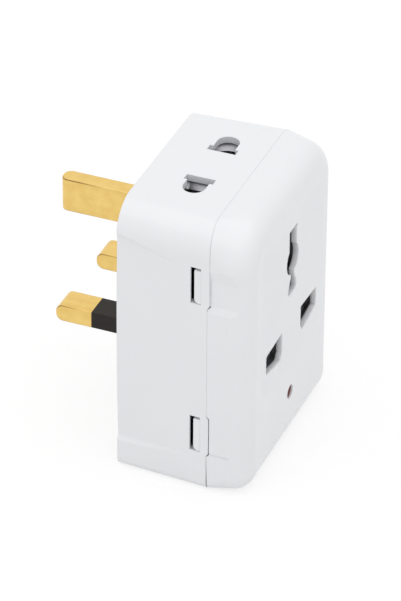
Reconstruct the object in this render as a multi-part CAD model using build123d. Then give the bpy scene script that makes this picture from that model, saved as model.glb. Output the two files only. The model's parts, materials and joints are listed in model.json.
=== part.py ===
"""Multi-socket plug adapter: three flat pins behind, a two-pin socket on top, a universal socket in front.

Millimetres. X points right for someone facing the front, Y points back to the wall and Z points up.
The origin lies on the mating face, midway between the line pin and the neutral pin.
Depth is measured forward from the mating face, so a point at depth d has y = -d.
"""
import os

from build123d import *

# Case, seen from the front
case_width = 49.8
case_top = 36.9  # top above the line and neutral pins
case_base = 29.7  # base below the line and neutral pins
top_corner_radius = 7.5
base_corner_radius = 2.0
front_top_radius = 13.0  # in front of the seam the corners open out to these
front_base_radius = 6.6
base_trim = 0.02  # taken off below, so that the base is one true plane

# Case, front to back
rear_depth = 21.3
cover_depth = 9.7
front_edge_radius = 5.0
side_draft = 1.3  # each side of the rear case closes in by this much at the mating face
top_draft = 0.1
case_wall = 1.6
back_wall = 2.2
front_wall = 1.4
seam_gap = 0.02
seam_opening = 0.3  # the seam gapes by this much more at the base
fit_gap = 0.1  # play between moulded pieces that locate each other
cut_margin = 1.0  # how far a cutter reaches past what it cuts

# Dished grips on the sides of the rear case
grip_top = 31.8
grip_top_fall = 3.0  # the upper end comes down by this much towards the front
grip_base = 24.0
grip_depth = 0.7
grip_reach = 17.0
grip_step_radius = 2.8

# Snap hooks of the cover and their windows in the rear case
hook_spacing = 38.0
hook_height = 8.2
hook_thickness = 1.3
hook_root = 4.0
hook_end_radius = 1.2
hook_flush = 0.12  # the hook's face lies this far inside the case's side
hook_drop = 0.25  # the hooks sit this far below the middle of their windows
barb_gap = 0.01
window_height = 9.0
window_width = 2.4
window_land = 1.5
window_rear_gap = 0.9
window_skin = 0.5  # the wall is thinned to this behind each window
window_relief = 2.4
tab_height = 0.45  # the rear case's rim stands forward at each window
tab_gap = 0.22
tab_slope = 0.6
pocket_depth = 0.6
pocket_run = 3.0
pocket_ledge = 1.6
pocket_bend = 1.0
groove_width = 0.4
groove_depth = 0.1
lip_depth = 2.0
lip_root = 1.5
lip_thickness = 1.2
lip_slot = 0.8

# Plug pins
pin_spacing = 22.2
earth_rise = 22.2
pin_width = 6.35
pin_thickness = 4.0
pin_length = 18.4
earth_height = 8.0
earth_length = 22.5
tip_radius = 1.7
pin_edge_radius = 0.25
sleeve_length = 10.0
sleeve_wall = 0.6
flange_margin = 1.4
flange_thickness = 2.3
tenon_diameter = 2.4
tenon_head_diameter = 3.8
tenon_head_height = 0.8
tenon_head_radius = 0.5
metal_gap = 0.05
seat_wall = 1.0
seat_height = 1.4

# Universal socket in the front
front_drop = 0.9  # its line and neutral slots lie this far below the plug pins
slot_outer = 14.9
slot_inner = 5.5
slot_height = 4.8
slot_rise = 0.5  # the top edge climbs by this much towards the middle
slot_toe_drop = 1.5
slot_toe = 6.7
slot_heel = 1.6
slot_corner = 0.5
earth_slot_width = 4.4
earth_slot_top = 4.2  # above the earth pin's centre
earth_round_diameter = 7.1
earth_round_drop = 3.7
earth_neck_width = 2.2
earth_foot_width = 4.9
earth_foot_top = 14.3  # above the line and neutral slots
earth_foot_height = 4.4
earth_foot_straight = 1.5
earth_foot_corner = 1.0

# Two-pin socket in the top
top_socket_depth = 12.0
flat_slot_offset = 6.45
flat_slot_width = 1.85
flat_slot_length = 6.6
round_hole_offset = 9.6
round_hole_diameter = 5.0

# Contacts, stamped from strip
strip = 0.6
strip_bend = 0.5
front_jaw_gap = 4.4
front_jaw_width = 9.0
jaw_flare = 1.0
jaw_flare_length = 2.4
jaw_front_gap = 1.2
earth_jaw_overlap = 0.4
top_leaf_gap = 0.2  # between the leaves and the edge of the opening above them
top_leaf_bend = 1.0
top_leaf_drop = 0.6  # the leaves end this far under the top wall
top_leaf_clearance = 0.6  # between the leaves and the carrier below them
top_flare = 1.3
top_flare_height = 1.5
top_leg_length = 15.8
top_leg_width = 4.0
top_leg_lap = 1.0
top_foot_length = 5.5
busbar_thickness = 1.0
busbar_width = 7.0
busbar_tail = 10.0
busbar_corner = 1.0
rivet_diameter = 2.2
rivet_head_diameter = 3.6
rivet_head_height = 0.7
busbar_rest_height = 2.5

# Insulating carrier around the front contacts
carrier_depth = 9.2
carrier_plate = 1.6
cell_wall = 1.2
cell_gap = 0.3
carrier_front_gap = 0.3
post_diameter = 5.6
upper_post_rise = 2.2
lower_post_drop = 9.4
post_margin = 1.0
screw_diameter = 2.4
screw_length = 7.0
screw_head_diameter = 4.4
screw_head_height = 1.7

# Indicator
lamp_drop = 17.0
lamp_hole_diameter = 3.2
lens_recess = 0.6
lens_dome = 0.35
lens_flange_diameter = 4.4
lens_flange_thickness = 0.8
neon_diameter = 4.2
neon_length = 9.0
neon_dome = 1.4
boss_wall = 1.1
boss_length = 7.5
lead_diameter = 1.0
lead_offset = 1.0
lead_run_depth = 11.0
lead_bend = 2.0
lead_margin = 2.0  # the leads end this far above the busbars' tails
resistor_diameter = 2.4
resistor_length = 6.5
resistor_end_radius = 0.5
resistor_tail = 3.0

# Values that follow from those above
half_width = case_width / 2
total_depth = rear_depth + cover_depth
rim_depth = rear_depth + seam_gap
inner_front = total_depth - front_wall
mid_height = (case_top - case_base) / 2
hook_heights = [mid_height + hook_spacing / 2, mid_height - hook_spacing / 2]
window_front = rear_depth - window_land
window_rear = window_front - window_width
hook_tip = window_rear + window_rear_gap
flange_front = back_wall + flange_thickness
busbar_front = flange_front + busbar_thickness
jaw_tip = inner_front - jaw_front_gap
front_earth = earth_rise - front_drop
slot_middle = (slot_outer + slot_inner) / 2
top_leaf_inner = flat_slot_offset - flat_slot_width / 2 - top_leaf_gap - strip / 2
top_leaf_outer = round_hole_offset + round_hole_diameter / 2 + top_leaf_gap + strip / 2
top_leaf_reach = flat_slot_length / 2 + top_leaf_gap + strip / 2
top_leaf_top = case_top - top_draft - case_wall - top_leaf_drop
carrier_top = front_earth + earth_slot_top + earth_jaw_overlap + cell_gap + cell_wall
top_foot_middle = (top_leaf_inner + top_leaf_outer) / 2
top_foot_top = top_leaf_top - top_leg_length
foot_rivet = top_foot_top - top_foot_length / 2
busbar_middle = (pin_spacing / 2 + top_foot_middle) / 2
sides = (-1, 1)


def at(depth):
    """Plane of the front view at a depth, where X is to the right and Y is up."""
    return Plane.XZ.offset(depth)


def across(x):
    """Plane of the side view, where X is the depth and Y is up."""
    return Plane(origin=(x, 0, 0), x_dir=(0, -1, 0), z_dir=(-1, 0, 0))


def above(z):
    """Plane of the top view, where X is the depth and Y is to the right."""
    return Plane(origin=(0, 0, z), x_dir=(0, -1, 0), z_dir=(0, 0, 1))


def block(x, width, first, last, z, height):
    """Box centred on x and z, between two depths."""
    return Pos(x, -(first + last) / 2, z) * Box(width, last - first, height)


def rod(x, z, diameter, first, last):
    """Cylinder along the depth."""
    return extrude(at(first) * Pos(x, z) * Circle(diameter / 2), last - first)


def share_behind(depth):
    """1 at the mating face, falling to 0 at the seam and in front of it."""
    return max(1 - depth / rear_depth, 0.0)


def share_ahead(depth):
    """0 up to the seam, rising to 1 at the front."""
    return max((depth - rear_depth) / cover_depth, 0.0)


def side_closing(depth):
    """How far each side of the rear case has closed in at a depth."""
    return side_draft * share_behind(depth)


def case_outline(depth, inset=0.0):
    """Front view of the case at a depth, drawn in by inset."""
    ahead = share_ahead(depth)
    width = case_width - 2 * (inset + side_closing(depth))
    top = case_top - top_draft * share_behind(depth) - inset
    base = inset - case_base - base_trim
    top_radius = top_corner_radius - inset + (front_top_radius - top_corner_radius) * ahead
    base_radius = base_corner_radius - inset + (front_base_radius - base_corner_radius) * ahead
    sheet = Pos(0, (top + base) / 2) * Rectangle(width, top - base)
    sheet = fillet(sheet.vertices().group_by(Axis.Y)[-1], max(top_radius, fit_gap))
    sheet = fillet(sheet.vertices().group_by(Axis.Y)[0], max(base_radius, fit_gap))
    return at(depth) * sheet


def face_base(solid):
    """Takes the trim off below, across the whole depth."""
    middle = -case_base - cut_margin
    return solid - block(0, 2 * case_width, -rear_depth, 2 * total_depth, middle, 2 * cut_margin)


def drafted_block(inset, first):
    """Rear case as a solid, drawn in by inset, from a depth to its rim."""
    return loft([case_outline(first, inset), case_outline(rear_depth, inset)], ruled=True)


def front_block(inset, last):
    """Cover as a solid, drawn in by inset, from the seam to a depth, with its front edge rounded."""
    solid = loft([case_outline(rim_depth, inset), case_outline(last, inset)], ruled=True)
    return fillet(solid.faces().sort_by(Axis.Y)[0].edges(), max(front_edge_radius - inset, fit_gap))


def grip_cutter(side, inset):
    """What a grip takes off one side: a bowed face, deepest at its ends and at the mating face."""
    outside = half_width + grip_depth + grip_step_radius
    low = -grip_base - inset
    middle = (grip_top - grip_base) / 2
    ends = (-cut_margin, grip_reach + cut_margin)

    def section(depth):
        high = grip_top + inset - grip_top_fall * depth / grip_reach
        crown = half_width - side_closing(depth) - inset + metal_gap / 2
        end = crown - grip_depth * (1 - depth / grip_reach)
        bow = ThreePointArc((side * end, high), (side * crown, middle), (side * end, low))
        corners = [(end, low), (outside, low), (outside, high), (end, high)]
        rest = Polyline(*[(side * x, z) for x, z in corners])
        return at(depth) * make_face(bow + rest)

    cutter = loft([section(depth) for depth in ends], ruled=True)
    inner = cutter.faces().sort_by(Axis.X)[0 if side > 0 else -1]
    steps = [edge for edge in inner.edges() if abs(edge.center().Y + sum(ends) / 2) < grip_reach / 4]
    return fillet(steps, grip_step_radius)


def gripped_block(inset, first):
    """Rear case as a solid with both grips taken off."""
    solid = drafted_block(inset, first)
    for side in sides:
        solid -= grip_cutter(side, inset)
    return solid


def top_aperture(side):
    """Opening for a flat or a round pin: a slot with a round lobe on its outer side."""
    slot = Pos(side * flat_slot_offset, -top_socket_depth) * Rectangle(flat_slot_width, flat_slot_length)
    lobe = Pos(side * round_hole_offset, -top_socket_depth) * Circle(round_hole_diameter / 2)
    between = (flat_slot_offset + round_hole_offset) / 2
    throat = Pos(side * between, -top_socket_depth) * Rectangle(
        round_hole_offset - flat_slot_offset, round_hole_diameter
    )
    return slot + lobe + throat


def slot_outline(side):
    """Line or neutral slot: taller towards the middle, with a toe below for the blades of other plugs."""
    top = slot_height / 2 - front_drop
    base = top - slot_height
    toe = base - slot_toe_drop
    points = [
        (side * slot_outer, top),
        (side * slot_inner, top + slot_rise),
        (side * slot_inner, toe + slot_heel),
        (side * slot_toe, toe),
        (side * slot_outer, base),
    ]
    sheet = make_face(Polyline(*points, close=True))
    return fillet(sheet.vertices(), slot_corner)


def earth_outline():
    """Earth opening: flat pin slot, round hole, then a narrow neck down to a bell-shaped foot."""
    top = front_earth + earth_slot_top
    round_z = front_earth - earth_round_drop
    foot_top = earth_foot_top - front_drop
    foot_base = foot_top - earth_foot_height
    foot_knee = foot_base + earth_foot_straight
    slot = Pos(0, (top + round_z) / 2) * Rectangle(earth_slot_width, top - round_z)
    hole = Pos(0, round_z) * Circle(earth_round_diameter / 2)
    neck_base = foot_top - earth_neck_width / 2
    neck = Pos(0, (round_z + neck_base) / 2) * Rectangle(earth_neck_width, round_z - neck_base)
    neck_half = earth_neck_width / 2
    foot_half = earth_foot_width / 2
    foot = make_face(
        Polyline(
            (-neck_half, foot_top),
            (-foot_half, foot_knee),
            (-foot_half, foot_base),
            (foot_half, foot_base),
            (foot_half, foot_knee),
            (neck_half, foot_top),
            close=True,
        )
    )
    foot = fillet(foot.vertices().group_by(Axis.Y)[0], earth_foot_corner)
    return slot + hole + neck + foot


def pin_places():
    """Centre, width and height of each pin where it passes the back wall."""
    return {
        "line": (pin_spacing / 2, 0.0, pin_width, pin_thickness),
        "neutral": (-pin_spacing / 2, 0.0, pin_width, pin_thickness),
        "earth": (0.0, earth_rise, pin_thickness, earth_height),
    }


def post_heights():
    """Heights of the two posts that carry the contact carrier."""
    return (upper_post_rise - front_drop, -lower_post_drop - front_drop)


def rim_tabs(gap):
    """Raised rim of the rear case beside the windows, grown by a gap. The upper two run out on top."""
    front = rear_depth + tab_height + gap
    half = window_height / 2 + gap
    upper, lower = hook_heights
    corner = case_top - top_corner_radius
    ends = [(upper - half, corner, case_top), (lower - half, lower + half, lower + half + tab_slope)]
    tabs = Part()
    for low, high, run_out in ends:
        points = [(rear_depth, low - tab_slope), (front, low), (front, high), (rear_depth, run_out)]
        sheet = make_face(Polyline(*points, close=True))
        for side in sides:
            tabs += extrude(across(side * half_width) * sheet, 2 * case_wall, both=True)
    return tabs


def window_cutter(side, height):
    """A hook's window, with the wall behind it thinned from inside."""
    face = half_width - side_closing(window_rear)
    window = block(side * face, 4 * case_wall, window_rear, window_front, height, window_height)
    inner = face - case_wall - cut_margin
    outer = face - window_skin
    middle = side * (inner + outer) / 2
    window_back = window_rear - window_relief
    return window + block(middle, outer - inner, window_back, window_rear, height, window_height)


def make_rear_case():
    """Deep half of the case: it holds the pins and has the top socket and the hook windows."""
    case = gripped_block(0.0, 0.0) - gripped_block(case_wall, back_wall)
    rim = case_outline(rear_depth) - case_outline(rear_depth, case_wall)
    case += extrude(rim, tab_height) & rim_tabs(0.0)
    case = face_base(case)
    for height in hook_heights:
        for side in sides:
            case -= window_cutter(side, height)
    for x, z, width, height in pin_places().values():
        flange = 2 * flange_margin + 2 * fit_gap
        seat_width = width + flange
        seat_rise = height + flange
        seat_front = back_wall + seat_height
        frame = block(x, seat_width + 2 * seat_wall, 0, seat_front, z, seat_rise + 2 * seat_wall)
        frame -= block(x, seat_width, back_wall, seat_front, z, seat_rise)
        case += frame
        case -= block(x, width + 2 * fit_gap, -back_wall, 2 * back_wall, z, height + 2 * fit_gap)
    for side in sides:
        case -= extrude(Plane.XY.offset(case_top / 2) * top_aperture(side), case_top)
        rest_x = side * busbar_middle
        rest_z = foot_rivet - rivet_head_diameter - busbar_rest_height
        case += block(rest_x, busbar_width, back_wall / 2, flange_front, rest_z, busbar_rest_height)
    for z in post_heights():
        case += rod(0, z, post_diameter, back_wall / 2, carrier_depth)
        case -= rod(0, z, screw_diameter + 2 * fit_gap, back_wall, carrier_depth)
    return case


def make_hook(side, window):
    """Snap hook: an arm along the case's side wall, with a barb that fills the front of the window."""
    height = window - hook_drop
    outer_face = half_width - case_wall - side_closing(hook_tip) - fit_gap
    inner_face = outer_face - hook_thickness
    root_face = half_width - case_wall / 2
    root_rear = rear_depth + tab_height + tab_gap
    root_front = root_rear + hook_root
    arm_middle = side * (outer_face + inner_face) / 2
    arm = block(arm_middle, hook_thickness, hook_tip, root_front, height, hook_height)
    root_middle = (root_face + inner_face) / 2
    root = block(side * root_middle, root_face - inner_face, root_rear, root_front, height, hook_height)
    barb_face = half_width - hook_flush
    barb_front = window_front - barb_gap
    barb_middle = (barb_face + inner_face) / 2
    barb = block(side * barb_middle, barb_face - inner_face, hook_tip, barb_front, height, hook_height)
    low_rear = barb.edges().filter_by(Axis.X).sort_by(Axis.Z)[:2].sort_by(Axis.Y)[-1]
    barb = fillet(low_rear, min(hook_end_radius, barb_front - hook_tip - metal_gap))
    return arm + root + barb


def make_lip():
    """Rim that locates the cover inside the rear case, slotted beside each hook."""
    tip = rear_depth - lip_depth
    inset = case_wall + fit_gap
    lip = extrude(case_outline(tip, inset), rim_depth - tip)
    for height in hook_heights:
        lip -= block(0, 2 * case_width, 0, rim_depth, height - hook_drop, hook_height + 2 * lip_slot)
    root = extrude(case_outline(rim_depth, case_wall / 2), lip_root)
    bore = extrude(case_outline(tip, inset + lip_thickness), rim_depth + lip_root - tip)
    return lip + root - bore


def make_pocket(side):
    """Shallow dish beside an upper hook: it slopes in from above and comes out over a ledge below."""
    floor = half_width - pocket_depth
    outside = half_width + cut_margin
    high = hook_heights[0] + window_height / 2
    low = hook_heights[0] - window_height / 2
    points = [
        (side * half_width, high),
        (side * floor, high - pocket_run),
        (side * floor, low),
        (side * half_width, low - pocket_ledge),
        (side * outside, low - pocket_ledge),
        (side * outside, high),
    ]
    sheet = make_face(Polyline(*points, close=True))
    bends = [corner for corner in sheet.vertices() if abs(corner.X) < half_width - pocket_depth / 2]
    return extrude(at(rear_depth) * fillet(bends, pocket_bend), cover_depth)


def seam_wedge():
    """What opens the seam below the lower hooks: a wedge that is widest at the base."""
    start = hook_heights[1] - window_height / 2 - tab_gap
    end = -case_base - cut_margin
    points = [(rear_depth, start), (rim_depth, start), (rim_depth + seam_opening, end), (rear_depth, end)]
    return extrude(across(0) * make_face(Polyline(*points, close=True)), case_width, both=True)


def make_front_cover():
    """Shallow half of the case with the universal socket, the lamp hole and four snap hooks."""
    cover = face_base(front_block(0.0, total_depth)) - front_block(case_wall, inner_front)
    groove_z = hook_heights[1] - window_height / 2
    for side in sides:
        groove = block(side * half_width, 2 * groove_depth, rear_depth, total_depth, groove_z, groove_width)
        cover -= make_pocket(side) + groove
    cover += make_lip()
    inside = extrude(case_outline(rear_depth, case_wall), cover_depth)
    cover -= rim_tabs(tab_gap) + seam_wedge() - inside
    for height in hook_heights:
        for side in sides:
            cover += make_hook(side, height)
    openings = [slot_outline(side) for side in sides] + [earth_outline()]
    for opening in openings:
        cover -= extrude(at(inner_front - cut_margin) * opening, front_wall + 2 * cut_margin)
    boss_diameter = neon_diameter + 2 * fit_gap + 2 * boss_wall
    cover += rod(0, -lamp_drop, boss_diameter, inner_front - boss_length, inner_front)
    cover -= rod(0, -lamp_drop, lens_flange_diameter + 2 * fit_gap, inner_front - boss_length, inner_front)
    cover -= rod(0, -lamp_drop, lamp_hole_diameter, inner_front - cut_margin, total_depth + cut_margin)
    return cover


def make_flanged_root(x, z, width, height, core_width, core_height):
    """Inner end of a pin: its way through the back wall and the flange behind it."""
    root = block(x, core_width, 0, back_wall, z, core_height)
    root += block(x, width + 2 * flange_margin, back_wall, flange_front, z, height + 2 * flange_margin)
    return root


def make_blade_pin(x):
    """Line or neutral pin: a bare blade, a neck under the sleeve, a flange and a tenon."""
    neck_width = pin_width - 2 * sleeve_wall
    neck_height = pin_thickness - 2 * sleeve_wall
    blade = block(x, pin_width, -pin_length, -sleeve_length, 0, pin_thickness)
    tip = blade.faces().sort_by(Axis.Y)[-1]
    blade = fillet(tip.edges().filter_by(Axis.X), tip_radius)
    blade = fillet(blade.edges().filter_by(Axis.Y), pin_edge_radius)
    neck = block(x, neck_width, -sleeve_length, 0, 0, neck_height)
    root = make_flanged_root(x, 0, pin_width, pin_thickness, neck_width, neck_height)
    joint = busbar_front + strip
    tenon = rod(x, -front_drop, tenon_diameter, flange_front, joint)
    head = rod(x, -front_drop, tenon_head_diameter, joint, joint + tenon_head_height)
    head = fillet(head.faces().sort_by(Axis.Y)[0].edges(), tenon_head_radius)
    return blade + neck + root + tenon + head


def make_earth_pin():
    """Earth pin: bare all the way, with the same flange and tenon."""
    blade = block(0, pin_thickness, -earth_length, 0, earth_rise, earth_height)
    tip = blade.faces().sort_by(Axis.Y)[-1]
    blade = fillet(tip.edges().filter_by(Axis.Z), tip_radius)
    blade = fillet(blade.edges().filter_by(Axis.Y), pin_edge_radius)
    root = make_flanged_root(0, earth_rise, pin_thickness, earth_height, pin_thickness, earth_height)
    joint = flange_front + strip
    tenon = rod(0, earth_rise, tenon_diameter, flange_front, joint)
    head = rod(0, earth_rise, tenon_head_diameter, joint, joint + tenon_head_height)
    head = fillet(head.faces().sort_by(Axis.Y)[0].edges(), tenon_head_radius)
    return blade + root + tenon + head


def make_sleeve(x):
    """Insulating sleeve, flush with the bare blade, from the flange to the blade's shoulder."""
    sleeve = block(x, pin_width, -sleeve_length, back_wall, 0, pin_thickness)
    sleeve = fillet(sleeve.edges().filter_by(Axis.Y), pin_edge_radius)
    neck_width = pin_width - 2 * sleeve_wall
    neck_height = pin_thickness - 2 * sleeve_wall
    return sleeve - block(x, neck_width, -sleeve_length, back_wall, 0, neck_height)


def folded_strip(plane, points, width, bends=strip_bend):
    """Strip of contact metal bent along points in a plane and extruded evenly to both sides of it."""
    return extrude(plane * trace(FilletPolyline(*points, radius=bends), strip), width / 2, both=True)


def make_front_contact(side):
    """Line or neutral jaw: a leaf above the pin and one below, flared at the mouth, on a drilled base."""
    base = busbar_front + strip / 2
    leaf = (front_jaw_gap + strip) / 2
    flare = jaw_tip - jaw_flare_length
    points = [
        (jaw_tip, leaf + jaw_flare - front_drop),
        (flare, leaf - front_drop),
        (base, leaf - front_drop),
        (base, -leaf - front_drop),
        (flare, -leaf - front_drop),
        (jaw_tip, -leaf - jaw_flare - front_drop),
    ]
    jaw = folded_strip(across(side * slot_middle), points, front_jaw_width)
    x = side * pin_spacing / 2
    return jaw - rod(x, -front_drop, tenon_diameter + 2 * metal_gap, flange_front, jaw_tip)


def make_earth_contact():
    """Earth jaw: two upright leaves beside the pin, as tall as the slot, the round hole and the foot."""
    base = flange_front + strip / 2
    leaf = (earth_slot_width + strip) / 2
    flare = jaw_tip - jaw_flare_length
    points = [
        (jaw_tip, leaf + jaw_flare),
        (flare, leaf),
        (base, leaf),
        (base, -leaf),
        (flare, -leaf),
        (jaw_tip, -leaf - jaw_flare),
    ]
    high = front_earth + earth_slot_top + earth_jaw_overlap
    low = earth_foot_top - front_drop - earth_foot_height - earth_jaw_overlap
    jaw = folded_strip(above((high + low) / 2), points, high - low)
    return jaw - rod(0, earth_rise, tenon_diameter + 2 * metal_gap, 0, jaw_tip)


def top_leaves(side, grow):
    """Plan of a top contact's strip: flat beside the blade, round behind, then bowed around the pin."""
    reach = top_leaf_reach + grow
    rear = top_socket_depth - reach
    front = top_socket_depth + reach
    inner = side * (top_leaf_inner - grow)
    turn = side * (top_leaf_outer - top_leaf_reach)
    outer = side * (top_leaf_outer + grow)
    blade_leaf = FilletPolyline((front, inner), (rear, inner), (rear, turn), radius=top_leaf_bend + grow)
    pin_leaf = ThreePointArc((rear, turn), (top_socket_depth, outer), (front, turn))
    return trace(blade_leaf + pin_leaf, strip)


def make_top_contact(side):
    """Contact of the top socket: a strip around a flat blade and a round pin, flared on top, on a leg."""
    leaf_base = carrier_top + top_leaf_clearance
    flare_base = top_leaf_top - top_flare_height
    contact = extrude(above(leaf_base) * top_leaves(side, 0.0), flare_base - leaf_base)
    contact += loft(
        [above(flare_base) * top_leaves(side, 0.0), above(top_leaf_top) * top_leaves(side, top_flare)],
        ruled=True,
    )
    rear = top_socket_depth - top_leaf_reach
    foot = busbar_front + strip / 2
    leg = [
        (rear, leaf_base + top_leg_lap),
        (rear, top_foot_top + rear - foot),
        (foot, top_foot_top),
        (foot, top_foot_top - top_foot_length),
    ]
    x = side * top_foot_middle
    contact += folded_strip(across(x), leg, top_leg_width)
    return contact - rod(x, foot_rivet, rivet_diameter + 2 * metal_gap, 0, rear)


def make_busbar(side):
    """Flat bar on the pin's flange: up to the foot of the top contact, down to the lamp's lead."""
    bar = block(
        side * busbar_middle,
        busbar_width,
        flange_front,
        busbar_front,
        (top_foot_top - strip_bend - strip - busbar_tail) / 2,
        top_foot_top - strip_bend - strip + busbar_tail,
    )
    bar = fillet(bar.edges().filter_by(Axis.Y), busbar_corner)
    bar -= rod(side * pin_spacing / 2, -front_drop, tenon_diameter + 2 * metal_gap, 0, total_depth)
    return bar - rod(side * top_foot_middle, foot_rivet, rivet_diameter + 2 * metal_gap, 0, total_depth)


def make_contact_rivets():
    """Two rivets that hold the feet of the top contacts to the busbars."""
    rivets = []
    for side in sides:
        x = side * top_foot_middle
        rear = flange_front
        front = busbar_front + strip
        rivet = rod(x, foot_rivet, rivet_diameter, rear, front)
        rivet += rod(x, foot_rivet, rivet_head_diameter, rear - rivet_head_height, rear)
        rivet += rod(x, foot_rivet, rivet_head_diameter, front, front + rivet_head_height)
        rivets.append(rivet.solid())
    return Compound(rivets)


def cell_sizes():
    """Middle, width and height of the hole in each cell of the carrier."""
    flared = jaw_flare + strip + cell_gap
    blade_cell = (front_jaw_width + 2 * cell_gap, front_jaw_gap + 2 * flared)
    high = carrier_top - cell_wall
    low = earth_foot_top - front_drop - earth_foot_height - earth_jaw_overlap - cell_gap
    return [
        (slot_middle, -front_drop, *blade_cell),
        (-slot_middle, -front_drop, *blade_cell),
        (0.0, (high + low) / 2, earth_slot_width + 2 * flared, high - low),
    ]


def make_contact_carrier():
    """Insulating frame: a plate on the two posts, with a tube-shaped cell around each front contact."""
    front = inner_front - carrier_front_gap
    plate_front = carrier_depth + carrier_plate
    cells = cell_sizes()
    stem_base = post_heights()[1] - post_diameter / 2 - post_margin
    stem_top = front_earth
    stem_width = post_diameter + 2 * post_margin
    stem_middle = (stem_base + stem_top) / 2
    carrier = block(0, stem_width, carrier_depth, plate_front, stem_middle, stem_top - stem_base)
    wing_height = cells[0][3] + 2 * cell_wall
    carrier += block(0, 2 * slot_middle, carrier_depth, plate_front, -front_drop, wing_height)
    for x, z, width, height in cells:
        carrier += block(x, width + 2 * cell_wall, carrier_depth, front, z, height + 2 * cell_wall)
    for x, z, width, height in cells:
        carrier -= block(x, width, 0, total_depth, z, height)
    for z in post_heights():
        carrier -= rod(0, z, screw_diameter + 2 * fit_gap, 0, plate_front)
        carrier -= rod(0, z, screw_head_diameter + 2 * fit_gap, plate_front, total_depth)
    return carrier


def make_carrier_screws():
    """Two pan-head screws through the carrier into the posts."""
    seat = carrier_depth + carrier_plate
    screws = []
    for z in post_heights():
        screw = rod(0, z, screw_diameter, seat - screw_length, seat)
        head = rod(0, z, screw_head_diameter, seat, seat + screw_head_height)
        head = fillet(head.faces().sort_by(Axis.Y)[0].edges(), screw_head_height / 2)
        screws.append((screw + head).solid())
    return Compound(screws)


def make_indicator_lens():
    """Red window: a domed plug in the lamp hole, with a flange behind the front wall."""
    face = total_depth - lens_recess
    lens = rod(0, -lamp_drop, lamp_hole_diameter - 2 * metal_gap, inner_front - lens_flange_thickness, face)
    lens = fillet(lens.faces().sort_by(Axis.Y)[0].edges(), lens_dome)
    return lens + rod(0, -lamp_drop, lens_flange_diameter, inner_front - lens_flange_thickness, inner_front)


def neon_ends():
    """Depths of the neon tube's rear and front ends."""
    front = inner_front - lens_flange_thickness
    return front - neon_length, front


def make_neon_lamp():
    """Glass tube with a domed front end."""
    rear, front = neon_ends()
    tube = rod(0, -lamp_drop, neon_diameter, rear, front)
    return fillet(tube.faces().sort_by(Axis.Y)[0].edges(), neon_dome)


def make_lead(points):
    """Insulated wire along straight runs joined by arcs."""
    path = FilletPolyline(*points, radius=lead_bend)
    start = Plane(origin=path @ 0, z_dir=path % 0)
    return sweep(start * Circle(lead_diameter / 2), path)


def lead_end(side):
    """Point on the busbar's tail where a lead is joined."""
    return (side * busbar_middle, -busbar_front, lead_margin - busbar_tail)


def make_line_lead():
    """Wire from the neon tube to the tail of the line busbar."""
    end = lead_end(1)
    rear = -neon_ends()[0]
    return make_lead(
        [
            (lead_offset, rear, -lamp_drop),
            (lead_offset, -lead_run_depth, -lamp_drop),
            (end[0], -lead_run_depth, -lamp_drop),
            (end[0], -lead_run_depth, end[2]),
            end,
        ]
    )


def resistor_ends():
    """Left and right ends of the resistor, which lies along the neutral lead."""
    right = -lead_offset - 2 * lead_bend
    return right - resistor_length, right


def make_neutral_leads():
    """Two wires: from the neon tube to the resistor, and from the resistor to the neutral busbar."""
    end = lead_end(-1)
    left, right = resistor_ends()
    rear = -neon_ends()[0]
    first = make_lead(
        [
            (-lead_offset, rear, -lamp_drop),
            (-lead_offset, -lead_run_depth, -lamp_drop),
            (right, -lead_run_depth, -lamp_drop),
        ]
    )
    corner = left - resistor_tail
    second = make_lead(
        [
            (left, -lead_run_depth, -lamp_drop),
            (corner, -lead_run_depth, -lamp_drop),
            (corner, -lead_run_depth, end[2]),
            (corner, end[1], end[2]),
        ]
    )
    return Compound([first.solid(), second.solid()])


def make_lamp_resistor():
    """Resistor body with rounded ends."""
    left, right = resistor_ends()
    body = Pos((left + right) / 2, -lead_run_depth, -lamp_drop) * Rot(0, 90, 0) * Cylinder(
        resistor_diameter / 2, resistor_length
    )
    return fillet(body.edges().filter_by(GeomType.CIRCLE), resistor_end_radius)


def make_all():
    """Every piece by its name."""
    right = pin_spacing / 2
    return {
        "rear_case": make_rear_case(),
        "front_cover": make_front_cover(),
        "contact_carrier": make_contact_carrier(),
        "line_pin": make_blade_pin(right),
        "neutral_pin": make_blade_pin(-right),
        "earth_pin": make_earth_pin(),
        "line_pin_sleeve": make_sleeve(right),
        "neutral_pin_sleeve": make_sleeve(-right),
        "line_busbar": make_busbar(1),
        "neutral_busbar": make_busbar(-1),
        "front_line_contact": make_front_contact(1),
        "front_neutral_contact": make_front_contact(-1),
        "front_earth_contact": make_earth_contact(),
        "top_line_contact": make_top_contact(1),
        "top_neutral_contact": make_top_contact(-1),
        "contact_rivets": make_contact_rivets(),
        "carrier_screws": make_carrier_screws(),
        "indicator_lens": make_indicator_lens(),
        "neon_lamp": make_neon_lamp(),
        "lamp_resistor": make_lamp_resistor(),
        "line_lamp_lead": make_line_lead(),
        "neutral_lamp_leads": make_neutral_leads(),
    }


os.makedirs("parts", exist_ok=True)
for name, piece in make_all().items():
    export_step(piece, f"parts/{name}.step")
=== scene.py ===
# %% [markdown]
# # A multi socket adapter in white plastic and brass
#
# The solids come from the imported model, already in place and at their real size in metres. This lesson gives
# them a camera, a studio and finishes, and adds the fine pieces that are easier to make as surfaces.

# %% Load the frame
import json
from math import cos, radians, sin

import bmesh
import bpy
import numpy as np
from mathutils import Matrix, Vector

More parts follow.
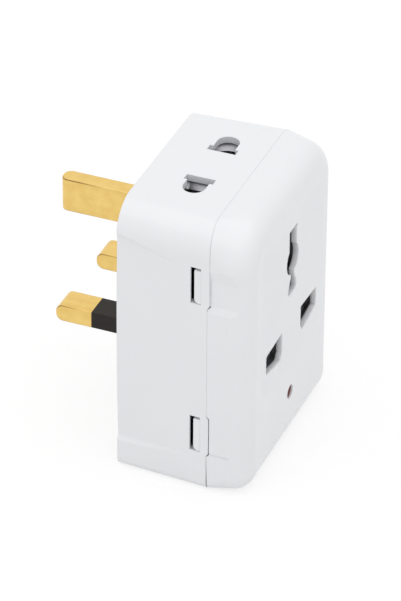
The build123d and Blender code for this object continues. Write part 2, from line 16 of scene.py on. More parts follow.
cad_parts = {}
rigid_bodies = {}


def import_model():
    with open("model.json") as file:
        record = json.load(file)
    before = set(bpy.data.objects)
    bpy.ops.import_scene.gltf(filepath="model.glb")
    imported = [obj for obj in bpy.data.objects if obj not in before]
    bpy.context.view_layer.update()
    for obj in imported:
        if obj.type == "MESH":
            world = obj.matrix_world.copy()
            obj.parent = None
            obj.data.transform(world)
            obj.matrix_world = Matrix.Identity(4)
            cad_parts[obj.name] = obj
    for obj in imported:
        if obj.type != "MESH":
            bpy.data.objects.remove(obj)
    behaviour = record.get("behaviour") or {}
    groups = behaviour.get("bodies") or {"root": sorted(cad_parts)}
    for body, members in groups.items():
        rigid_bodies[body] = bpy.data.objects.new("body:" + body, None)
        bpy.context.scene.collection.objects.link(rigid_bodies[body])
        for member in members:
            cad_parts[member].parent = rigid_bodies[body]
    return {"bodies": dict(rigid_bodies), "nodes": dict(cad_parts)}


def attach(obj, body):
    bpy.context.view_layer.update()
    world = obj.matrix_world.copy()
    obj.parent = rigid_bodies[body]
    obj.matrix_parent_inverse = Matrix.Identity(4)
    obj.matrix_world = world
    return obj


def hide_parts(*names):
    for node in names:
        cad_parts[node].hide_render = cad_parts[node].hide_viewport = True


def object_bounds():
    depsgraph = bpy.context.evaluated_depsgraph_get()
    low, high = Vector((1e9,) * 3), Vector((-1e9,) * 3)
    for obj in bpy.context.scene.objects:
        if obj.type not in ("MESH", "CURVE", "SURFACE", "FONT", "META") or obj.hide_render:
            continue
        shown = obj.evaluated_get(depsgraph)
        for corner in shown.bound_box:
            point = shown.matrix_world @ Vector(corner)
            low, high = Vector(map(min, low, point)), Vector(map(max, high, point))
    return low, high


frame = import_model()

MM = 0.001
BODY = next(iter(frame["bodies"]))
cad_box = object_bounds()
print("nodes", len(frame["nodes"]), "box", cad_box)

# %% [markdown]
# ## The camera
#
# The photograph looks at the adapter mostly from its left and from a third of the way up, through a long
# lens. A long lens far away keeps the case's edges nearly parallel, which a short lens close by would not.
# The camera's three directions are worked out from azimuth, elevation and a slight roll, and become the
# columns of its matrix.

# %% Camera
PICTURE_HEIGHT = 601
FOCAL_PIXELS = 4216.0
SENSOR = 36.0
view_azimuth = radians(68.03)
view_elevation = radians(33.72)
view_roll = radians(0.45)
view_distance = 0.9106
view_target = Vector((-5.61, -12.0, 5.49)) * MM

backward = Vector(
    (
        -sin(view_azimuth) * cos(view_elevation),
        -cos(view_azimuth) * cos(view_elevation),
        sin(view_elevation),
    )
)
level_right = Vector((cos(view_azimuth), -sin(view_azimuth), 0))
level_up = backward.cross(level_right)
view_right = cos(view_roll) * level_right + sin(view_roll) * level_up
view_up = cos(view_roll) * level_up - sin(view_roll) * level_right

camera_data = bpy.data.cameras.new("camera")
camera_data.sensor_width = SENSOR
camera_data.lens = FOCAL_PIXELS * SENSOR / PICTURE_HEIGHT
camera = bpy.data.objects.new("camera", camera_data)
bpy.context.collection.objects.link(camera)
turn = Matrix((view_right, view_up, backward)).transposed().to_4x4()
camera.matrix_world = Matrix.Translation(view_target + backward * view_distance) @ turn
bpy.context.scene.camera = camera
bpy.context.scene.view_settings.view_transform = "Standard"
print("lens", round(camera_data.lens, 1), "mm at", round(view_distance, 3), "m")

# %% [markdown]
# ## The studio
#
# The photograph looks as if it was taken in a light tent: nearly all of the light comes from everywhere, so
# the sides are even and only the depth of a slot is dark. The top is a little brighter than the sides, as
# under a softbox that hangs above, slightly to the left. The sky carries most of the light, a sun lamp with
# a wide angle stands for the softbox, and a pale floor throws light back on the sides. The rays that the
# camera, a reflection or a see-through piece sends out find the sky and the floor lifted to white. The rays
# that carry light find them at a plain level, so white plastic doesn't clip, and a faint shadow stays on
# the floor.


# %% Studio helpers
def seen_directly(tree):
    """1 for rays that the camera, a reflection or a see-through piece sends out.

    It is 0 for the rays that carry light.
    """
    path = tree.nodes.new("ShaderNodeLightPath")
    either = tree.nodes.new("ShaderNodeMath")
    either.operation = "MAXIMUM"
    any_of = tree.nodes.new("ShaderNodeMath")
    any_of.operation = "MAXIMUM"
    tree.links.new(path.outputs["Is Camera Ray"], either.inputs[0])
    tree.links.new(path.outputs["Is Glossy Ray"], either.inputs[1])
    tree.links.new(either.outputs[0], any_of.inputs[0])
    tree.links.new(path.outputs["Is Transmission Ray"], any_of.inputs[1])
    return any_of.outputs[0]


def between(tree, value, low, high):
    """Maps a value of 0 to 1 to the range from low to high."""
    ranged = tree.nodes.new("ShaderNodeMapRange")
    ranged.inputs["To Min"].default_value = low
    ranged.inputs["To Max"].default_value = high
    tree.links.new(value, ranged.inputs["Value"])
    return ranged.outputs["Result"]


# %% Sky
SKY_LIGHT = 0.78
SKY_SEEN = 1.0

world = bpy.data.worlds.new("studio")
bpy.context.scene.world = world
world.use_nodes = True
sky_tree = world.node_tree
sky = sky_tree.nodes["Background"]
sky.inputs["Color"].default_value = (1, 1, 1, 1)
sky_strength = between(sky_tree, seen_directly(sky_tree), SKY_LIGHT, SKY_SEEN)
sky_tree.links.new(sky_strength, sky.inputs["Strength"])
print("sky", SKY_LIGHT)

# %% Floor
FLOOR_HALF = 3.0
FLOOR_COLOUR = 0.85
FLOOR_SEEN = 0.25
FLOOR_LIFT = 0.75

across, along = np.meshgrid([-FLOOR_HALF, FLOOR_HALF], [-FLOOR_HALF, FLOOR_HALF])
corners = np.column_stack((across.ravel(), along.ravel(), np.full(4, cad_box[0][2])))
floor_mesh = bpy.data.meshes.new("floor")
floor_mesh.from_pydata(corners.tolist(), [], [(0, 1, 3, 2)])
floor = bpy.data.objects.new("floor", floor_mesh)
bpy.context.collection.objects.link(floor)
paper = bpy.data.materials.new("floor_paper")
paper.use_nodes = True
paper_tree = paper.node_tree
paper_shader = paper_tree.nodes["Principled BSDF"]
paper_shader.inputs["Roughness"].default_value = 1.0
paper_shader.inputs["Specular IOR Level"].default_value = 0.0
paper_shader.inputs["Emission Color"].default_value = (1, 1, 1, 1)
seen = seen_directly(paper_tree)
paper_tree.links.new(between(paper_tree, seen, FLOOR_COLOUR, FLOOR_SEEN), paper_shader.inputs["Base Color"])
paper_tree.links.new(between(paper_tree, seen, 0.0, FLOOR_LIFT), paper_shader.inputs["Emission Strength"])
floor_mesh.materials.append(paper)
print("floor at", round(cad_box[0][2] / MM, 2), "mm")

# %% Softbox
SOFTBOX_STRENGTH = 0.94
SOFTBOX_SPREAD = radians(80)
softbox_direction = Vector((-0.24, -0.05, 0.97))

softbox_data = bpy.data.lights.new("softbox", "SUN")
softbox_data.energy = SOFTBOX_STRENGTH
softbox_data.angle = SOFTBOX_SPREAD
softbox = bpy.data.objects.new("softbox", softbox_data)
softbox.matrix_world = softbox_direction.to_track_quat("Z", "Y").to_matrix().to_4x4()
bpy.context.collection.objects.link(softbox)
print("softbox strength", SOFTBOX_STRENGTH)

# %% [markdown]
# ## Finishes
#
# Every finish is a small tree of nodes on Object coordinates, so a pattern keeps its real size in metres and
# stays on the piece from any side. A few helpers keep each finish short.


# %% Helpers for finishes
def start_finish(name):
    """A new material with its tree and its main shader."""
    material = bpy.data.materials.new(name)
    material.use_nodes = True
    tree = material.node_tree
    return material, tree, tree.nodes["Principled BSDF"]


def noise_on_object(tree, scale, detail=2.0, stretch=(1, 1, 1)):
    """Noise from 0 to 1 on Object coordinates.

    The scale is in cycles for each metre, and stretch multiplies it on each axis.
    """
    place = tree.nodes.new("ShaderNodeTexCoord")
    mapping = tree.nodes.new("ShaderNodeMapping")
    mapping.inputs["Scale"].default_value = stretch
    noise = tree.nodes.new("ShaderNodeTexNoise")
    noise.inputs["Scale"].default_value = scale
    noise.inputs["Detail"].default_value = detail
    tree.links.new(place.outputs["Object"], mapping.inputs["Vector"])
    tree.links.new(mapping.outputs["Vector"], noise.inputs["Vector"])
    return noise.outputs["Fac"]


def blend_colours(tree, value, first, second):
    """Colour that goes from first at 0 to second at 1."""
    mix = tree.nodes.new("ShaderNodeMix")
    mix.data_type = "RGBA"
    mix.inputs[6].default_value = (*first, 1)
    mix.inputs[7].default_value = (*second, 1)
    tree.links.new(value, mix.inputs["Factor"])
    return mix.outputs[2]


def mix_colours(tree, value, colour, second):
    """Goes from a colour output at 0 to a second, fixed colour at 1."""
    mix = tree.nodes.new("ShaderNodeMix")
    mix.data_type = "RGBA"
    mix.inputs[7].default_value = (*second, 1)
    tree.links.new(value, mix.inputs["Factor"])
    tree.links.new(colour, mix.inputs[6])
    return mix.outputs[2]


def vary_colour(tree, shader, value, first, second):
    """Base colour that goes from first where the value is 0 to second where it is 1."""
    tree.links.new(blend_colours(tree, value, first, second), shader.inputs["Base Color"])


def vary_roughness(tree, shader, value, low, high):
    """Roughness that goes from low where the value is 0 to high where it is 1."""
    tree.links.new(between(tree, value, low, high), shader.inputs["Roughness"])


# %% Helpers for places and edges
EDGE_SAMPLES = 6


def multiply(tree, first, second):
    """Product of two values."""
    product = tree.nodes.new("ShaderNodeMath")
    product.operation = "MULTIPLY"
    tree.links.new(first, product.inputs[0])
    tree.links.new(second, product.inputs[1])
    return product.outputs[0]


def along_axis(tree, axis, start, end, low, high):
    """Value that goes from low to high between two places on an axis of the object, and stays so beyond."""
    place = tree.nodes.new("ShaderNodeTexCoord")
    axes = tree.nodes.new("ShaderNodeSeparateXYZ")
    ranged = tree.nodes.new("ShaderNodeMapRange")
    ranged.inputs["From Min"].default_value = start
    ranged.inputs["From Max"].default_value = end
    ranged.inputs["To Min"].default_value = low
    ranged.inputs["To Max"].default_value = high
    tree.links.new(place.outputs["Object"], axes.inputs["Vector"])
    tree.links.new(axes.outputs[axis], ranged.inputs["Value"])
    return ranged.outputs["Result"]


def within(tree, axis, low, high, fade):
    """1 between two places on an axis of the object, going to 0 over the fade on either side."""
    rising = along_axis(tree, axis, low - fade, low, 0.0, 1.0)
    falling = along_axis(tree, axis, high, high + fade, 1.0, 0.0)
    return multiply(tree, rising, falling)


def soft_edges(tree, radius):
    """Normal that turns gradually over an edge, as on a moulding whose edges are rounded by radius."""
    bevel = tree.nodes.new("ShaderNodeBevel")
    bevel.samples = EDGE_SAMPLES
    if isinstance(radius, float):
        bevel.inputs["Radius"].default_value = radius
    else:
        tree.links.new(radius, bevel.inputs["Radius"])
    return bevel.outputs["Normal"]


def ripple(tree, height, distance, normal=None):
    """Bump from a height of 0 to 1 that stands for distance metres."""
    bump = tree.nodes.new("ShaderNodeBump")
    bump.inputs["Distance"].default_value = distance
    tree.links.new(height, bump.inputs["Height"])
    if normal is not None:
        tree.links.new(normal, bump.inputs["Normal"])
    return bump.outputs["Normal"]


def edge_lines(tree):
    """1 on rounded edges that run along Y and 0 on flat faces.

    It is twice the size of the normal's X times its Z.
    """
    geometry = tree.nodes.new("ShaderNodeNewGeometry")
    axes = tree.nodes.new("ShaderNodeSeparateXYZ")
    product = multiply(tree, axes.outputs["X"], axes.outputs["Z"])
    size = tree.nodes.new("ShaderNodeMath")
    size.operation = "ABSOLUTE"
    tree.links.new(geometry.outputs["Normal"], axes.inputs["Vector"])
    tree.links.new(product, size.inputs[0])
    return between(tree, size.outputs[0], 0.0, 2.0)


def dress(material, *names):
    """Gives CAD nodes a finish."""
    for name in names:
        slots = frame["nodes"][name].data.materials
        slots.clear()
        slots.append(material)
    print(material.name, "on", ", ".join(names))


# %% [markdown]
# ## New pieces
#
# The fine pieces are surfaces. Small round ones are a profile of radius and depth, turned around an axis that
# points to the front. The points of each grid are worked out as whole arrays.

# %% Helpers for surfaces
MERGE_DISTANCE = 1e-7
SHARP_ANGLE = radians(35)


def turned(profile, centre, around=96):
    """Surface of revolution, in mm, for each radius r and depth d of the profile.

    At turn t, x = cx + r cos t, z = cz + r sin t and y = -d.
    """
    radius, depth = np.asarray(profile, float).T
    turn = np.linspace(0, 2 * np.pi, around, endpoint=False)
    x = centre[0] + np.outer(radius, np.cos(turn))
    z = centre[1] + np.outer(radius, np.sin(turn))
    y = -np.repeat(depth[:, None], around, axis=1)
    return grid_mesh(np.stack((x, y, z), axis=-1) * MM)


def grid_mesh(points):
    """Vertices and quads of a grid of points that closes on itself in its second direction."""
    rows, columns = points.shape[:2]
    index = np.arange(rows * columns).reshape(rows, columns)
    after = np.roll(index, -1, axis=1)
    quads = np.stack((index[:-1], index[1:], after[1:], after[:-1]), axis=-1)
    return points.reshape(-1, 3), quads.reshape(-1, 4)


def add_piece(name, vertices, quads, material):
    """A smooth mesh that rides the case, with doubled points merged and its faces turned outwards."""
    mesh = bpy.data.meshes.new(name)
    mesh.from_pydata(vertices.tolist(), [], quads.tolist())
    shape = bmesh.new()
    shape.from_mesh(mesh)
    bmesh.ops.remove_doubles(shape, verts=shape.verts, dist=MERGE_DISTANCE)
    bmesh.ops.recalc_face_normals(shape, faces=shape.faces)
    shape.to_mesh(mesh)
    shape.free()
    mesh.shade_smooth()
    mesh.set_sharp_from_angle(angle=SHARP_ANGLE)
    mesh.materials.append(material)
    piece = bpy.data.objects.new(name, mesh)
    bpy.context.collection.objects.link(piece)
    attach(piece, BODY)
    print(name, len(mesh.polygons), "faces")
    return piece


# %% [markdown]
# ## White moulded plastic
#
# Both halves of the case look injection moulded in a glossy white plastic. Up close such a surface is not a
# perfect mirror: it has a faint waviness and its gloss changes a little from place to place. The moulding's
# edges are never knife sharp, and a softened normal there catches a thin line of light. Towards the front the
# edges are softer, as around the slots.

# %% White plastic
CASE_EDGE = 0.12 * MM
FRONT_EDGE = 0.40 * MM
WAVINESS = 4e-6

white, tree, shader = start_finish("white_plastic")
drift = noise_on_object(tree, scale=60, detail=3.0)
vary_colour(tree, shader, drift, (0.785, 0.793, 0.812), (0.815, 0.823, 0.842))
gloss = noise_on_object(tree, scale=350, detail=2.0)
vary_roughness(tree, shader, gloss, 0.20, 0.28)
peel = noise_on_object(tree, scale=900, detail=1.0)
softness = along_axis(tree, "Y", -28.0 * MM, -30.0 * MM, CASE_EDGE, FRONT_EDGE)
tree.links.new(ripple(tree, peel, WAVINESS, soft_edges(tree, softness)), shader.inputs["Normal"])
dress(white, "rear_case", "front_cover")

# %% [markdown]
# ## Light in the front wall
#
# White plastic is not quite opaque. Around the slots light enters the thin front wall and leaves it again a
# millimetre away, which lifts the shade on the walls of the openings. A mask keeps this to the front wall
# around the slots, because at the seam it would darken the line.

# %% Light in the front wall
SLOTS_HALF = 16.5 * MM
SLOTS_LOW = -7.0 * MM
SLOTS_HIGH = 27.0 * MM
SIDE_FADE = 1.5 * MM
RISE_FADE = 2.0 * MM
LIGHT_REACH = 1.2 * MM

slots_side = within(tree, "X", -SLOTS_HALF, SLOTS_HALF, SIDE_FADE)
slots_rise = within(tree, "Z", SLOTS_LOW, SLOTS_HIGH, RISE_FADE)
front_wall = along_axis(tree, "Y", -27.0 * MM, -29.0 * MM, 0.0, 1.0)
around_slots = multiply(tree, multiply(tree, slots_side, slots_rise), front_wall)
tree.links.new(around_slots, shader.inputs["Subsurface Weight"])
shader.inputs["Subsurface Radius"].default_value = (1.0, 0.95, 0.9)
shader.inputs["Subsurface Scale"].default_value = LIGHT_REACH
print("light reaches", LIGHT_REACH / MM, "mm through the front wall around the slots")

# %% [markdown]
# ## Seam tongues
#
# Beside the upper hooks the rear case's rim stands forward, and the cover clears it by a fifth of a
# millimetre. In the photograph the seam looks closed there. A thin moulded tongue in the gap would do that,
# and keep dust out. It is a small rectangle carried along the case's outline: straight up the side, then
# round the top corner, where the gap runs out. Beside the hook it follows the floor of the pocket.

# %% Seam tongues
CASE_HALF = 24.9
CASE_TOP = 36.9
CORNER = 7.5  # radius of the top corners at the seam
CORNER_GROWTH = 0.567  # what the radius gains for each mm in front of the seam
CORNER_START = CASE_TOP - CORNER
SEAM = 21.3  # depth of the seam in front of the mating face
TAB = 0.45  # how far the rim stands forward
TAB_GAP = 0.22
TONGUE_BASE = 18.0
TONGUE_TURN = 54  # degrees round the corner
TONGUE_PLAY = 0.004
TONGUE_OUTSIDE = 0.01
TONGUE_INSIDE = 0.78
POCKET_TOP = 27.1
POCKET_RUN = 3.0
POCKET_DEPTH = 0.6


def seam_tongue(side):
    """Rectangle along the outline: p = corner + (R - inset) n(t), with t at 0 up the side and turning on top.

    R = CORNER + CORNER_GROWTH (d - SEAM) at depth d. The front and rear edges run together towards the top.
    """
    straight = np.linspace(TONGUE_BASE, CORNER_START, 60)
    turn = np.radians(np.linspace(0, TONGUE_TURN, 40))
    angle = np.concatenate((np.zeros_like(straight), turn))[:, None]
    rise = np.concatenate((straight - CORNER_START, np.zeros_like(turn)))[:, None]
    height = rise + CORNER_START + CORNER * np.sin(angle)
    running_out = np.clip((CASE_TOP - height) / CORNER, 0, 1)
    rear = SEAM + TAB * running_out + TONGUE_PLAY
    front = SEAM + (TAB + TAB_GAP) * running_out - TONGUE_PLAY
    depth = np.hstack((rear, front, front, rear))
    outer = TONGUE_OUTSIDE + POCKET_DEPTH * np.clip((POCKET_TOP - height) / POCKET_RUN, 0, 1)
    inner = np.full_like(outer, TONGUE_INSIDE)
    inset = np.hstack((outer, outer, inner, inner))
    radius = CORNER + CORNER_GROWTH * (depth - SEAM)
    x = side * (CASE_HALF - radius + (radius - inset) * np.cos(angle))
    z = CASE_TOP - radius + (radius - inset) * np.sin(angle) + rise + (radius - CORNER) * (angle == 0)
    points = np.stack((x, -depth, z), axis=-1)
    ends = points[[0, -1]].mean(axis=1, keepdims=True).repeat(4, axis=1)
    return grid_mesh(np.concatenate((ends[:1], points, ends[1:])) * MM)


for name, side in (("left_seam_tongue", -1), ("right_seam_tongue", 1)):
    tongue = add_piece(name, *seam_tongue(side), white)

# %% [markdown]
# ## Brass pins
#
# Such pins are cut from drawn brass bar. Drawing leaves fine lines along the pin, so the noise is stretched
# along Y. Handling leaves patches that are a little darker. The rounded edges get painted shade, most of all
# towards the tips: a dark colour that stands for the darker surroundings they reflect.

# %% Brass
DRAWN_LINES = 3e-6

brass, tree, shader = start_finish("pin_brass")
drawn = noise_on_object(tree, scale=900, detail=3.0, stretch=(1.0, 0.04, 1.0))
handled = noise_on_object(tree, scale=420, detail=4.0)
lined = blend_colours(tree, drawn, (0.80, 0.565, 0.185), (0.95, 0.69, 0.25))
tarnished = mix_colours(tree, between(tree, handled, -0.35, 0.85), lined, (0.75, 0.485, 0.13))
# Painted shade on the rounded edges, strongest towards the tips: a dark colour for the darker surroundings
# they reflect.
tip = along_axis(tree, "Y", 12.0 * MM, 18.0 * MM, 0.35, 1.0)
painted_edge_shade = multiply(tree, edge_lines(tree), tip)
edged = mix_colours(tree, painted_edge_shade, tarnished, (0.20, 0.10, 0.035))
tree.links.new(edged, shader.inputs["Base Color"])
shader.inputs["Metallic"].default_value = 1.0
vary_roughness(tree, shader, handled, 0.22, 0.42)
tree.links.new(ripple(tree, drawn, DRAWN_LINES), shader.inputs["Normal"])
dress(brass, "line_pin", "neutral_pin", "earth_pin")

# %% [markdown]
# ## Black plastic
#
# The sleeves on the line and neutral pins and the carrier inside are black mouldings: the sleeves satin, the
# carrier matt, so that the inside of the sockets stays dark.

# %% Sleeves and carrier
SLEEVE_GRAIN = 5e-6
CARRIER_GRAIN = 6e-6

sleeve, tree, shader = start_finish("sleeve_plastic")
grain = noise_on_object(tree, scale=1500, detail=2.0)
vary_colour(tree, shader, grain, (0.0070, 0.0048, 0.0032), (0.0150, 0.0105, 0.0070))
vary_roughness(tree, shader, grain, 0.40, 0.55)
tree.links.new(ripple(tree, grain, SLEEVE_GRAIN, soft_edges(tree, 0.2 * MM)), shader.inputs["Normal"])
shader.inputs["Specular IOR Level"].default_value = 0.3
dress(sleeve, "line_pin_sleeve", "neutral_pin_sleeve")

matt, tree, shader = start_finish("carrier_plastic")
grain = noise_on_object(tree, scale=1200, detail=2.0)
vary_colour(tree, shader, grain, (0.055, 0.055, 0.058), (0.085, 0.085, 0.090))
vary_roughness(tree, shader, grain, 0.55, 0.70)
tree.links.new(ripple(tree, grain, CARRIER_GRAIN), shader.inputs["Normal"])
dress(matt, "contact_carrier")

# %% [markdown]
# ## Contacts and busbars
#
# Such contacts are stamped from a bright plated strip and the busbars from plain brass. Rolling leaves lines
# along the strip.

# %% Strip metals
ROLLED_LINES = 4e-6
ALONG_Z = (1.0, 1.0, 0.06)

plated, tree, shader = start_finish("contact_metal")
rolled = noise_on_object(tree, scale=700, detail=3.0, stretch=ALONG_Z)
vary_colour(tree, shader, rolled, (0.32, 0.32, 0.34), (0.46, 0.46, 0.48))
shader.inputs["Metallic"].default_value = 1.0
vary_roughness(tree, shader, rolled, 0.32, 0.46)
tree.links.new(ripple(tree, rolled, ROLLED_LINES), shader.inputs["Normal"])
dress(
    plated,
    "front_line_contact",
    "front_neutral_contact",
    "front_earth_contact",
    "top_line_contact",
    "top_neutral_contact",
)

bar, tree, shader = start_finish("bar_brass")
rolled = noise_on_object(tree, scale=600, detail=3.0, stretch=ALONG_Z)
vary_colour(tree, shader, rolled, (0.70, 0.48, 0.18), (0.80, 0.58, 0.24))
shader.inputs["Metallic"].default_value = 1.0
vary_roughness(tree, shader, rolled, 0.30, 0.45)
dress(bar, "line_busbar", "neutral_busbar", "contact_rivets")

# %% [markdown]
# ## Carrier screws
#
# Two self-tapping screws hold the carrier on the posts of the rear case. Such a screw is cold headed with a
# cross recess, its thread is rolled, and it is plated with zinc. One grid makes a whole screw: its rows go
# from the tip along the shank and over the head, the thread is a ridge that moves on by one pitch in each
# turn, and the recess lowers the top of the head inside two crossed bars.

# %% Shape of a screw
SCREW_HEIGHTS = (1.3, -10.3)
TIP_RADIUS = 0.5
TIP_DEPTH = 3.8
SHANK_RADIUS = 0.95
SHANK_START = 4.4
SHANK_END = 10.0
THREAD_HEIGHT = 0.25
THREAD_FULL = (5.2, 9.4)  # depths between which the thread has its full height
PITCH = 0.8
RIDGE_SLOPE = 1.6
HEAD_RADIUS = 2.2
HEAD_BASE = 10.8
HEAD_TOP = 12.5
HEAD_BEND = 0.85
RECESS_DEPTH = 0.75
RECESS_SLOPE = 0.08  # width of the recess's sloping side
ARM_HALF_WIDTH = 0.28
ARM_REACH = 1.2  # from the middle of the head


def screw_profile():
    """Radius and depth from the tip to the middle of the head, and the numbers of rows on shank and top."""
    bend = np.linspace(0, np.pi / 2, 9)
    shank = np.linspace(SHANK_START, SHANK_END, 141)
    flat = HEAD_RADIUS - HEAD_BEND
    top = np.linspace(flat, 0, 40)
    shank_radius = np.full_like(shank, SHANK_RADIUS)
    bend_radius = flat + HEAD_BEND * np.cos(bend)
    bend_depth = HEAD_TOP - HEAD_BEND + HEAD_BEND * np.sin(bend)
    radius = np.concatenate(([0, TIP_RADIUS], shank_radius, [SHANK_RADIUS, HEAD_RADIUS], bend_radius, top))
    top_depth = np.full_like(top, HEAD_TOP)
    depth = np.concatenate(([TIP_DEPTH] * 2, shank, [HEAD_BASE] * 2, bend_depth, top_depth))
    return radius, depth, len(shank), len(top)


def threaded_screw(height, around=96):
    """Screw of revolution with a ridge and a recess, in mm.

    On the shank r = SHANK_RADIUS + THREAD_HEIGHT ridge, and the ridge falls from 1 in the middle of each
    pitch to 0 beside it. On the head d drops by RECESS_DEPTH inside the cross.
    """
    radius, depth, shank_rows, top_rows = screw_profile()
    turn = np.linspace(0, 2 * np.pi, around, endpoint=False)
    rows = np.arange(len(radius))[:, None]
    on_shank = (rows >= 2) & (rows < 2 + shank_rows)
    on_top = rows >= len(radius) - top_rows
    phase = np.mod(depth[:, None] / PITCH - turn / (2 * np.pi), 1)
    fade = np.interp(depth, [SHANK_START, *THREAD_FULL, SHANK_END], [0, 1, 1, 0])[:, None]
    ridge = np.clip(1 - RIDGE_SLOPE * np.abs(2 * phase - 1), 0, 1) * fade
    r = radius[:, None] + THREAD_HEIGHT * ridge * on_shank
    x = r * np.cos(turn)
    z = r * np.sin(turn)
    along_x = np.minimum(ARM_HALF_WIDTH - np.abs(z), ARM_REACH - np.abs(x))
    along_z = np.minimum(ARM_HALF_WIDTH - np.abs(x), ARM_REACH - np.abs(z))
    cross = np.clip(np.maximum(along_x, along_z) / RECESS_SLOPE, 0, 1) * on_top
    y = RECESS_DEPTH * cross - depth[:, None]
    return grid_mesh(np.stack((x, y, z + height), axis=-1) * MM)


# %% Carrier screws
zinc, tree, shader = start_finish("screw_zinc")
plating = noise_on_object(tree, scale=1400, detail=2.0)
vary_colour(tree, shader, plating, (0.50, 0.50, 0.49), (0.64, 0.64, 0.62))
shader.inputs["Metallic"].default_value = 1.0
vary_roughness(tree, shader, plating, 0.26, 0.44)
upper, lower = [threaded_screw(height) for height in SCREW_HEIGHTS]
both = np.concatenate((upper[0], lower[0])), np.concatenate((upper[1], lower[1] + len(upper[0])))
screws = add_piece("threaded_screws", *both, zinc)
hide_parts("carrier_screws")

# %% [markdown]
# ## Indicator
#
# A dark red lens is moulded with a low dome, so that it shows at a slant although its top lies just inside
# the front, and a flange behind the front wall keeps it in. It is turned from a profile: the flange, the neck
# and a quarter of an ellipse for the dome.

# %% Lens
LAMP_CENTRE = (0, -17.0)
LENS_RADIUS = 1.55
FLANGE_RADIUS = 2.2
FLANGE_REAR = 28.8
FLANGE_FRONT = 29.6
DOME_BASE = 30.45
DOME_HEIGHT = 0.4

lens, tree, shader = start_finish("lens_red")
tint = noise_on_object(tree, scale=500, detail=1.0)
vary_colour(tree, shader, tint, (0.105, 0.022, 0.020), (0.15, 0.034, 0.031))
vary_roughness(tree, shader, tint, 0.30, 0.40)
shader.inputs["Specular IOR Level"].default_value = 0.03

quarter = np.linspace(0, np.pi / 2, 17)
flange_rear = [(0, FLANGE_REAR), (FLANGE_RADIUS, FLANGE_REAR)]
flange_front = [(FLANGE_RADIUS, FLANGE_FRONT), (LENS_RADIUS, FLANGE_FRONT)]
dome = np.column_stack((LENS_RADIUS * np.cos(quarter), DOME_BASE + DOME_HEIGHT * np.sin(quarter)))
lens_profile = np.concatenate((flange_rear, flange_front, dome))
domed_lens = add_piece("domed_lens", *turned(lens_profile, LAMP_CENTRE), lens)
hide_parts("indicator_lens")

# %% [markdown]
# ## Neon lamp
#
# The lamp behind the lens is a blown glass tube with gas and two rods inside. The profile of the glass runs
# over the outside, in through the hole where the tube was pumped out, and back along the inside, so that the
# wall has its thickness. The rods are turned too.

# %% Glass of the lamp
GLASS_RADIUS = 2.1
GLASS_WALL = 0.5
GLASS_BEND = 1.4
GLASS_FRONT = 28.8
GLASS_REAR = 19.8
INSIDE_REAR = 20.5
PUMP_RADIUS = 0.3

glass, tree, shader = start_finish("lamp_glass")
film = noise_on_object(tree, scale=300, detail=1.0)
vary_colour(tree, shader, film, (0.93, 0.90, 0.86), (0.98, 0.96, 0.93))
vary_roughness(tree, shader, film, 0.03, 0.08)
shader.inputs["Transmission Weight"].default_value = 1.0

over = np.column_stack((np.sin(quarter), np.cos(quarter)))
bend_centre = (GLASS_RADIUS - GLASS_BEND, GLASS_FRONT - GLASS_BEND)
outside = bend_centre + GLASS_BEND * over
rear_end = [(GLASS_RADIUS, GLASS_REAR), (PUMP_RADIUS, GLASS_REAR)]
inner_end = [(PUMP_RADIUS, INSIDE_REAR), (GLASS_RADIUS - GLASS_WALL, INSIDE_REAR)]
back = np.column_stack((np.cos(quarter), np.sin(quarter)))
inside = bend_centre + (GLASS_BEND - GLASS_WALL) * back
middle_outside = [(0, GLASS_FRONT)]
middle_inside = [(0, GLASS_FRONT - GLASS_WALL)]
wall = np.concatenate((middle_outside, outside, rear_end, inner_end, inside, middle_inside))
bulb = add_piece("neon_bulb", *turned(wall, LAMP_CENTRE), glass)
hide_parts("neon_lamp")

# %% Rods of the lamp
ROD_RADIUS = 0.35
ROD_REAR = 20.7
ROD_FRONT = 26.2
ROD_OFFSET = 0.75

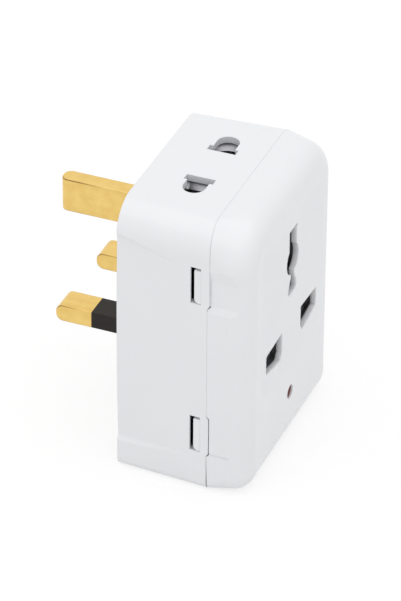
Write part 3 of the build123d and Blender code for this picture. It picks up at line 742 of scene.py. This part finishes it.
nickel, tree, shader = start_finish("electrode_nickel")
frost = noise_on_object(tree, scale=2000, detail=2.0)
vary_colour(tree, shader, frost, (0.40, 0.38, 0.35), (0.52, 0.50, 0.46))
shader.inputs["Metallic"].default_value = 1.0
vary_roughness(tree, shader, frost, 0.35, 0.55)
rod_tip = np.column_stack((ROD_RADIUS * np.cos(quarter), ROD_FRONT + ROD_RADIUS * np.sin(quarter)))
rod = np.concatenate(([(0, ROD_REAR), (ROD_RADIUS, ROD_REAR)], rod_tip))
for name, x in (("left_electrode", -ROD_OFFSET), ("right_electrode", ROD_OFFSET)):
    electrode = add_piece(name, *turned(rod, (x, LAMP_CENTRE[1]), 32), nickel)

# %% [markdown]
# ## Resistor and leads
#
# The resistor in series with the lamp is dipped in a tan coating and ringed with four bands of paint. The
# bands are steps along its length. The leads have grey plastic on the outside.

# %% Resistor
BAND_WIDTH = 0.08
RESISTOR_START = -11.5 * MM
RESISTOR_END = -5.0 * MM
TAN = (0.56, 0.44, 0.30, 1)
PAINTS = [
    (0.18, (0.45, 0.32, 0.02, 1)),
    (0.36, (0.14, 0.02, 0.16, 1)),
    (0.54, (0.50, 0.34, 0.02, 1)),
    (0.78, (0.42, 0.30, 0.10, 1)),
]

coat, tree, shader = start_finish("resistor_body")
bands = tree.nodes.new("ShaderNodeValToRGB")
bands.color_ramp.interpolation = "CONSTANT"
bands.color_ramp.elements[0].color = TAN
bands.color_ramp.elements[1].position = 0.97
bands.color_ramp.elements[1].color = TAN
for place, paint in PAINTS:
    bands.color_ramp.elements.new(place).color = paint
    bands.color_ramp.elements.new(place + BAND_WIDTH).color = TAN
tree.links.new(along_axis(tree, "X", RESISTOR_START, RESISTOR_END, 0.0, 1.0), bands.inputs["Fac"])
speck = noise_on_object(tree, scale=900, detail=2.0)
dusty = mix_colours(tree, between(tree, speck, 0.0, 0.3), bands.outputs["Color"], (0.40, 0.33, 0.24))
tree.links.new(dusty, shader.inputs["Base Color"])
vary_roughness(tree, shader, speck, 0.35, 0.5)
dress(coat, "lamp_resistor")

# %% Leads
insulation, tree, shader = start_finish("lead_insulation")
speck = noise_on_object(tree, scale=800, detail=2.0)
vary_colour(tree, shader, speck, (0.42, 0.42, 0.42), (0.52, 0.52, 0.52))
vary_roughness(tree, shader, speck, 0.4, 0.55)
dress(insulation, "line_lamp_lead", "neutral_lamp_leads")
